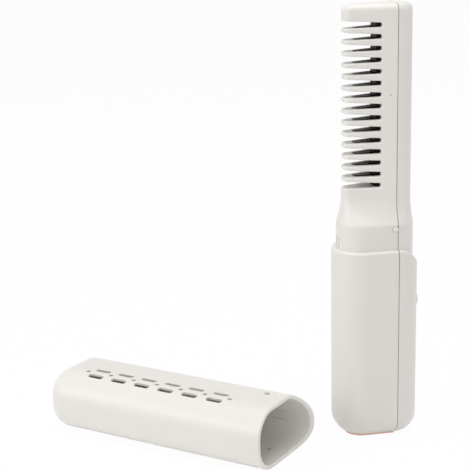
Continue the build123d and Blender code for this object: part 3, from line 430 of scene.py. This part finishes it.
class ShellSettings(bpy.types.PropertyGroup):
    """Colour, finish and seam of the white mouldings"""
    color: bpy.props.FloatVectorProperty(
        name="Colour", description="Colour of the white mouldings", subtype="COLOR",
        default=(0.80, 0.775, 0.735), min=0, max=1,
    )
    roughness: bpy.props.FloatProperty(
        name="Roughness", description="Roughness of the white mouldings", default=0.42, min=0, max=1,
    )
    grain: bpy.props.FloatProperty(
        name="Grain", description="Size of the moulded grain", subtype="DISTANCE", unit="LENGTH",
        default=0.00022, min=0.00005,
    )
    seam: bpy.props.FloatProperty(
        name="Seam", description="Where the two shells meet, along X", subtype="DISTANCE", unit="LENGTH",
        default=0.0075,
    )


class HeaterSettings(bpy.types.PropertyGroup):
    """Coating of the heating comb and colour of the foot plate"""
    color: bpy.props.FloatVectorProperty(
        name="Colour", description="Colour of the heating comb's coating", subtype="COLOR",
        default=(0.004, 0.004, 0.0045), min=0, max=1,
    )
    roughness: bpy.props.FloatProperty(
        name="Roughness", description="Roughness of the coating", default=0.4, min=0, max=1,
    )
    # Foot plate colour darker than bare rose gold: painted shade for the shadow where it meets the floor
    shaded_plate_color: bpy.props.FloatVectorProperty(
        name="Foot Plate", description="Colour of the rose-gold foot plate", subtype="COLOR",
        default=(0.58, 0.36, 0.28), min=0, max=1,
    )


class SpringSettings(bpy.types.PropertyGroup):
    """Wire and turns of the two springs behind the cap detents"""
    wire: bpy.props.FloatProperty(
        name="Wire", description="Radius of the detent springs' wire", subtype="DISTANCE", unit="LENGTH",
        default=0.00016, min=0.00005,
    )
    turns: bpy.props.IntProperty(
        name="Turns", description="Turns of each detent spring", default=11, min=3,
    )


class SymbolSettings(bpy.types.PropertyGroup):
    """Power symbol and the dish in the button's face that it is printed on"""
    radius: bpy.props.FloatProperty(
        name="Radius", description="Radius of the power symbol on the button", subtype="DISTANCE",
        unit="LENGTH", default=0.00125, min=0.0005,
    )
    stroke: bpy.props.FloatProperty(
        name="Stroke", description="Half the width of the symbol's line", subtype="DISTANCE", unit="LENGTH",
        default=0.00013, min=0.00005,
    )
    dish_radius: bpy.props.FloatProperty(
        name="Dish Radius", description="Radius of the hollow in the button's face", subtype="DISTANCE",
        unit="LENGTH", default=0.009, min=0.002,
    )
    dish_depth: bpy.props.FloatProperty(
        name="Dish Depth", description="Depth of the hollow below the button's rim", subtype="DISTANCE",
        unit="LENGTH", default=0.00035, min=0,
    )


class StageSettings(bpy.types.PropertyGroup):
    """Camera and floor"""
    lens: bpy.props.FloatProperty(
        name="Lens", description="Focal length on a 36 mm sensor", subtype="DISTANCE_CAMERA",
        default=97.43, min=10,
    )
    place: bpy.props.FloatVectorProperty(
        name="Camera", description="Where the camera stands", subtype="TRANSLATION", unit="LENGTH",
        default=(-0.1757, -0.5557, 0.2415),
    )
    heading: bpy.props.FloatProperty(
        name="Heading", description="Turn of the camera from the Y axis towards +X", subtype="ANGLE",
        default=math.radians(11.1),
    )
    pitch: bpy.props.FloatProperty(
        name="Pitch", description="How far the camera looks down", subtype="ANGLE",
        default=math.radians(13.95),
    )
    roll: bpy.props.FloatProperty(
        name="Roll", description="Turn of the camera about its own view", subtype="ANGLE",
        default=math.radians(-1.16),
    )
    floor: bpy.props.FloatProperty(
        name="Floor", description="Half the width of the floor", subtype="DISTANCE", unit="LENGTH",
        default=4.0, min=1,
    )


# Pieces

# How much smoother the button and the detent pins are than the shells
TRIM_POLISH = 0.08


class COMB_OT_shells(bpy.types.Operator):
    """Gives the shells, the button, the detent pins and the light pipe their finishes"""
    bl_idname = "comb.shells"
    bl_label = "Shells and Button"

    def execute(self, context):
        s = context.scene.comb_shell
        color = tuple(s.color)
        shell_white = satin_plastic("shell_white", color, s.roughness, s.grain, s.seam)
        trim_white = satin_plastic("trim_white", color, s.roughness - TRIM_POLISH, s.grain)
        dress(shell_white, "front_shell", "rear_cover")
        dress(trim_white, "power_button", "left_detent_pin", "right_detent_pin")
        dress(clear_moulding("pipe_clear", (0.86, 0.88, 0.9)), "light_pipe")
        return {"FINISHED"}


class COMB_OT_cap(bpy.types.Operator):
    """Gives the vented cap its satin white"""
    bl_idname = "comb.cap"
    bl_label = "Vented Cap"

    def execute(self, context):
        s = context.scene.comb_shell
        dress(satin_plastic("cap_white", tuple(s.color), s.roughness, s.grain), "cap")
        return {"FINISHED"}


class COMB_OT_heater(bpy.types.Operator):
    """Coats the heating comb and finishes the heater behind it"""
    bl_idname = "comb.heater"
    bl_label = "Heating Comb"

    def execute(self, context):
        s = context.scene.comb_heater
        dress(heat_coating("comb_black", tuple(s.color), s.roughness), "heating_comb")
        dress(moulded("ceramic_white", (0.82, 0.8, 0.76), 0.55), "ceramic_heater")
        dress(moulded("mica", (0.5, 0.42, 0.28), 0.4, 2 * MM), "mica_sheet")
        frame_black = moulded("frame_black", (0.035, 0.035, 0.035), 0.6)
        dress(frame_black, "heater_frame", "heat_barrier", "detent_guide")
        dress(brushed_metal("spring_steel", (0.6, 0.6, 0.6), 0.3), "clamp_springs")
        dress(moulded("glass_bead", (0.5, 0.22, 0.1), 0.2), "thermistor")
        dress(brushed_metal("fuse_metal", (0.72, 0.7, 0.66), 0.35, "Z"), "thermal_fuse")
        return {"FINISHED"}


class COMB_OT_foot(bpy.types.Operator):
    """Finishes the rose-gold foot plate and the charging port in it"""
    bl_idname = "comb.foot"
    bl_label = "Foot Plate and Port"

    def execute(self, context):
        s = context.scene.comb_heater
        # The plate's colour carries painted shade for the floor's shadow under it
        dress(brushed_metal("plate_rose", tuple(s.shaded_plate_color), 0.32, "X"), "bottom_plate")
        dress(brushed_metal("port_metal", (0.62, 0.62, 0.62), 0.28, "Z"), "charging_port")
        dress(moulded("tongue_black", (0.025, 0.025, 0.025), 0.45), "port_tongue")
        # Contacts: a row of upright lines on each face of the tongue, spaced evenly about its middle
        gold = brushed_metal("contact_gold", (0.85, 0.6, 0.22), 0.25, "Z")
        low, high, middle = extent("port_tongue")
        count = 5
        pitch = 1.1 * MM
        half_width = 0.2 * MM
        mouth_margin = 0.5 * MM
        root_margin = 0.6 * MM
        steps = 24
        up = np.linspace(low[2] + mouth_margin, high[2] - root_margin, steps)
        for face, level in (("front", low[1]), ("back", high[1])):
            for number in range(count):
                across = middle[0] + (number - (count - 1) / 2) * pitch
                centres = np.stack([np.full_like(up, across), np.full_like(up, level), up], axis=1)
                name = f"port_contact_{face}_{number + 1}"
                made = flat_line(name, centres, half_width, axis=1, flatness=0.25)
                show(made, "comb_body", gold)
        return {"FINISHED"}


class COMB_OT_detent_springs(bpy.types.Operator):
    """Winds the two springs that push the cap detents out"""
    bl_idname = "comb.detent_springs"
    bl_label = "Detent Springs"

    def execute(self, context):
        s = context.scene.comb_spring
        steel = brushed_metal("spring_wire", (0.62, 0.62, 0.62), 0.25, "X")
        points_per_turn = 40
        end_turns = 0.75
        for side in ("left", "right"):
            low, high, middle = extent(f"{side}_detent_spring")
            coil = (high[0] - low[0]) / 2 - s.wire
            turn = np.linspace(0, 1, points_per_turn * s.turns)
            # Helix: x and z go round on a circle while y runs the length, evenly but for closed end turns
            rise = np.clip((turn * s.turns - end_turns) / (s.turns - 2 * end_turns), 0, 1)
            angle = 2 * np.pi * s.turns * turn
            radial = np.stack([np.cos(angle), np.zeros_like(angle), np.sin(angle)], axis=1)
            centres = middle + coil * radial
            centres[:, 1] = low[1] + s.wire + (high[1] - low[1] - 2 * s.wire) * rise
            rings = along_path(centres, radial, np.full(len(turn), s.wire), around=10)
            made = show(closed_tube(f"{side}_spring_coil", rings), "comb_body", steel)
            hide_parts(f"{side}_detent_spring")
            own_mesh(made)
        return {"FINISHED"}


class COMB_OT_power_symbol(bpy.types.Operator):
    """Prints the power symbol in the button's dish"""
    bl_idname = "comb.power_symbol"
    bl_label = "Power Symbol"

    def execute(self, context):
        s = context.scene.comb_symbol
        _, high, middle = extent("power_button")
        print_grey = moulded("symbol_grey", (0.3, 0.3, 0.3), 0.5)
        bottom = high[0] - s.dish_depth
        # Ring: an arc, open to each side of straight up. Bar: an upright line in the opening
        opening = 35
        ring_steps = 90
        bar_steps = 30
        bar_low = 0.25
        bar_high = 1.25
        angle = np.radians(np.linspace(90 + opening, 450 - opening, ring_steps))
        ring = np.stack([s.radius * np.cos(angle), s.radius * np.sin(angle)], axis=1)
        bar = np.stack([np.zeros(bar_steps), np.linspace(bar_low, bar_high, bar_steps) * s.radius], axis=1)
        for name, path in (("ring", ring), ("bar", bar)):
            # Dish: a sphere's inside, x = its middle - square root of (radius squared - distance squared)
            depth = bottom + s.dish_radius - np.sqrt(s.dish_radius ** 2 - (path ** 2).sum(axis=1))
            centres = np.stack([depth, middle[1] + path[:, 0], middle[2] + path[:, 1]], axis=1)
            made = flat_line(f"power_symbol_{name}", centres, s.stroke, axis=0, flatness=0.3)
            show(made, "button", print_grey)
        return {"FINISHED"}


class COMB_OT_inner_parts(bpy.types.Operator):
    """Finishes the battery, boards and leads inside the handle"""
    bl_idname = "comb.inner_parts"
    bl_label = "Inner Parts"

    def execute(self, context):
        bare_end = 0.6 * MM
        low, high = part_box("battery_cell")
        film_ends = (low.z + bare_end, high.z - bare_end)
        dress(shrink_wrap("cell_wrap", (0.1, 0.27, 0.45), (0.7, 0.7, 0.68), *film_ends), "battery_cell")
        dress(brushed_metal("nickel", (0.66, 0.63, 0.58), 0.3, "X"), "battery_tabs")
        dress(moulded("holder_grey", (0.2, 0.2, 0.21), 0.55), "battery_holder")
        board_green = solder_mask("board_green", (0.02, 0.12, 0.06), (0.75, 0.72, 0.65))
        dress(board_green, "main_board", "port_board")
        dress(brushed_metal("screw_steel", (0.55, 0.55, 0.55), 0.3, "X"), "board_screws", "port_screws")
        dress(moulded("chip_black", (0.02, 0.02, 0.02), 0.4), "board_chips")
        dress(moulded("coil_grey", (0.12, 0.12, 0.12), 0.7, 1 * MM), "boost_coil")
        dress(brushed_metal("capacitor_metal", (0.7, 0.7, 0.68), 0.3, "X"), "capacitors")
        dress(brushed_metal("switch_metal", (0.65, 0.65, 0.65), 0.3), "tact_switch")
        dress(moulded("plunger_black", (0.03, 0.03, 0.03), 0.5), "switch_plunger")
        dress(clear_moulding("lamp", (0.85, 0.8, 0.5)), "status_lamp")
        dress(moulded("lead_white", (0.75, 0.75, 0.72), 0.5), "heater_leads")
        dress(moulded("lead_yellow", (0.75, 0.5, 0.1), 0.5), "sensor_leads")
        dress(moulded("lead_red", (0.5, 0.04, 0.03), 0.5), "port_leads")
        return {"FINISHED"}


# Stage

SENSOR_WIDTH = 36.0
CLOSEST_SEEN = 10 * MM
FLOOR_STEPS = 64
FLOOR_DROP = 0.05 * MM
# From this share of the floor's half width on, it bends up into the wall
WALL_START = 0.5
WALL_STEEPNESS = 4
# How much of the floor is plain white to the camera; the rest shows the shadow
FLOOR_WHITE = 0.96
SKY_LIGHT = 0.38
LAMP_AIM = Vector((-0.03, 0.0, 0.08))
# Each lamp's name, place and width in metres, and power in watts
LAMPS = (
    ("overhead", (-0.1, -0.1, 1.3), 1.0, 9.3),
    ("left_window", (-1.3, -0.3, 0.5), 0.8, 5.8),
    ("right_fill", (1.1, -0.7, 0.5), 0.8, 2.7),
)


def lay_floor(half_width):
    """Square floor that bends up into a wall behind.

    Past the wall's start z = steepness * half width * (share of the way back - start) squared.
    """
    reach = np.linspace(-1, 1, FLOOR_STEPS + 1)
    across, back = np.meshgrid(reach, reach, indexing="ij")
    lift = np.maximum(back - WALL_START, 0) ** 2 * WALL_STEEPNESS * half_width
    points = np.stack([across * half_width, back * half_width, lift - FLOOR_DROP], axis=-1).reshape(-1, 3)
    step = np.arange(FLOOR_STEPS)
    row, column = (grid.ravel() for grid in np.meshgrid(step, step, indexing="ij"))
    corner = row * len(reach) + column
    beside = corner + len(reach)
    floor = smooth_piece("floor", points, np.stack([corner, beside, beside + 1, corner + 1], axis=1))
    graph = Graph(bpy.data.materials.new("floor_white"))
    white = graph.node("ShaderNodeEmission", {}, {"Color": rgba(WHITE), "Strength": 1.0})
    lit = graph.node("ShaderNodeBsdfDiffuse", {}, {"Color": rgba(WHITE, 0.95)})
    both = graph.node("ShaderNodeMixShader", {}, {0: graph.seen_white() * FLOOR_WHITE, 1: lit, 2: white})
    floor.data.materials.append(graph.node("ShaderNodeOutputMaterial", {}, {"Surface": both}))


def light_sky(scene):
    """White world to the camera and in gloss, and a dimmer one for what lights the part."""
    scene.world = scene.world or bpy.data.worlds.new("studio")
    sky = Graph(scene.world)
    lighting = sky.node("ShaderNodeBackground", {}, {"Color": rgba(WHITE), "Strength": SKY_LIGHT})
    white = sky.node("ShaderNodeBackground", {}, {"Color": rgba(WHITE), "Strength": 1.0})
    both = sky.node("ShaderNodeMixShader", {}, {0: sky.seen_white(), 1: lighting, 2: white})
    sky.node("ShaderNodeOutputWorld", {}, {"Surface": both})


def hang_lamps(scene):
    """Round lamps, each turned towards the part."""
    for name, place, width, power in LAMPS:
        light = bpy.data.lights.new(name, "AREA")
        light.shape = "DISK"
        light.size = width
        light.energy = power
        lamp = bpy.data.objects.new(name, light)
        lamp.location = place
        lamp.rotation_euler = (LAMP_AIM - Vector(place)).to_track_quat("-Z", "Y").to_euler()
        scene.collection.objects.link(lamp)


def set_camera(scene, settings):
    """Camera that stands and looks as the photograph's does."""
    camera = bpy.data.cameras.new("camera")
    camera.lens = settings.lens
    camera.sensor_width = SENSOR_WIDTH
    camera.sensor_fit = "HORIZONTAL"
    camera.clip_start = CLOSEST_SEEN
    stand = bpy.data.objects.new("camera", camera)
    stand.matrix_world = (
        Matrix.Translation(Vector(settings.place))
        @ Matrix.Rotation(-settings.heading, 4, "Z")
        @ Matrix.Rotation(math.pi / 2 - settings.pitch, 4, "X")
        @ Matrix.Rotation(settings.roll, 4, "Z")
    )
    scene.collection.objects.link(stand)
    scene.camera = stand
    scene.view_settings.view_transform = "Standard"


class COMB_OT_stage(bpy.types.Operator):
    """Lays the pale floor, hangs the lamps and sets up the camera"""
    bl_idname = "comb.stage"
    bl_label = "Stage"

    def execute(self, context):
        s = context.scene.comb_stage
        lay_floor(s.floor)
        light_sky(context.scene)
        hang_lamps(context.scene)
        set_camera(context.scene, s)
        return {"FINISHED"}


class COMB_PT_panel(bpy.types.Panel):
    """Lists the settings and the pieces in the sidebar"""
    bl_idname = "COMB_PT_panel"
    bl_label = "Straightening Comb"
    bl_space_type = "VIEW_3D"
    bl_region_type = "UI"
    bl_category = "Comb"

    def draw(self, context):
        layout = self.layout
        for settings, operators in PANEL_ROWS:
            box = layout.box()
            group = getattr(context.scene, settings)
            for name in group.__annotations__:
                box.prop(group, name)
            for operator in operators:
                box.operator(operator.bl_idname)


PANEL_ROWS = (
    ("comb_shell", (COMB_OT_shells, COMB_OT_cap)),
    ("comb_heater", (COMB_OT_heater, COMB_OT_foot)),
    ("comb_spring", (COMB_OT_detent_springs, COMB_OT_inner_parts)),
    ("comb_symbol", (COMB_OT_power_symbol,)),
    ("comb_stage", (COMB_OT_stage,)),
)

SETTINGS = {
    "comb_shell": ShellSettings,
    "comb_heater": HeaterSettings,
    "comb_spring": SpringSettings,
    "comb_symbol": SymbolSettings,
    "comb_stage": StageSettings,
}

CLASSES = (
    *SETTINGS.values(),
    COMB_OT_shells, COMB_OT_cap, COMB_OT_heater, COMB_OT_foot, COMB_OT_detent_springs,
    COMB_OT_power_symbol, COMB_OT_inner_parts, COMB_OT_stage, COMB_PT_panel,
)


def register():
    for cls in CLASSES:
        bpy.utils.register_class(cls)
    for name, cls in SETTINGS.items():
        setattr(bpy.types.Scene, name, bpy.props.PointerProperty(type=cls))


def unregister():
    for name in SETTINGS:
        delattr(bpy.types.Scene, name)
    for cls in reversed(CLASSES):
        bpy.utils.unregister_class(cls)


def main():
    register()
    bpy.ops.comb.shells()
    bpy.ops.comb.cap()
    bpy.ops.comb.heater()
    bpy.ops.comb.foot()
    bpy.ops.comb.detent_springs()
    bpy.ops.comb.power_symbol()
    bpy.ops.comb.inner_parts()
    bpy.ops.comb.stage()


if __name__ == "__main__":
    main()
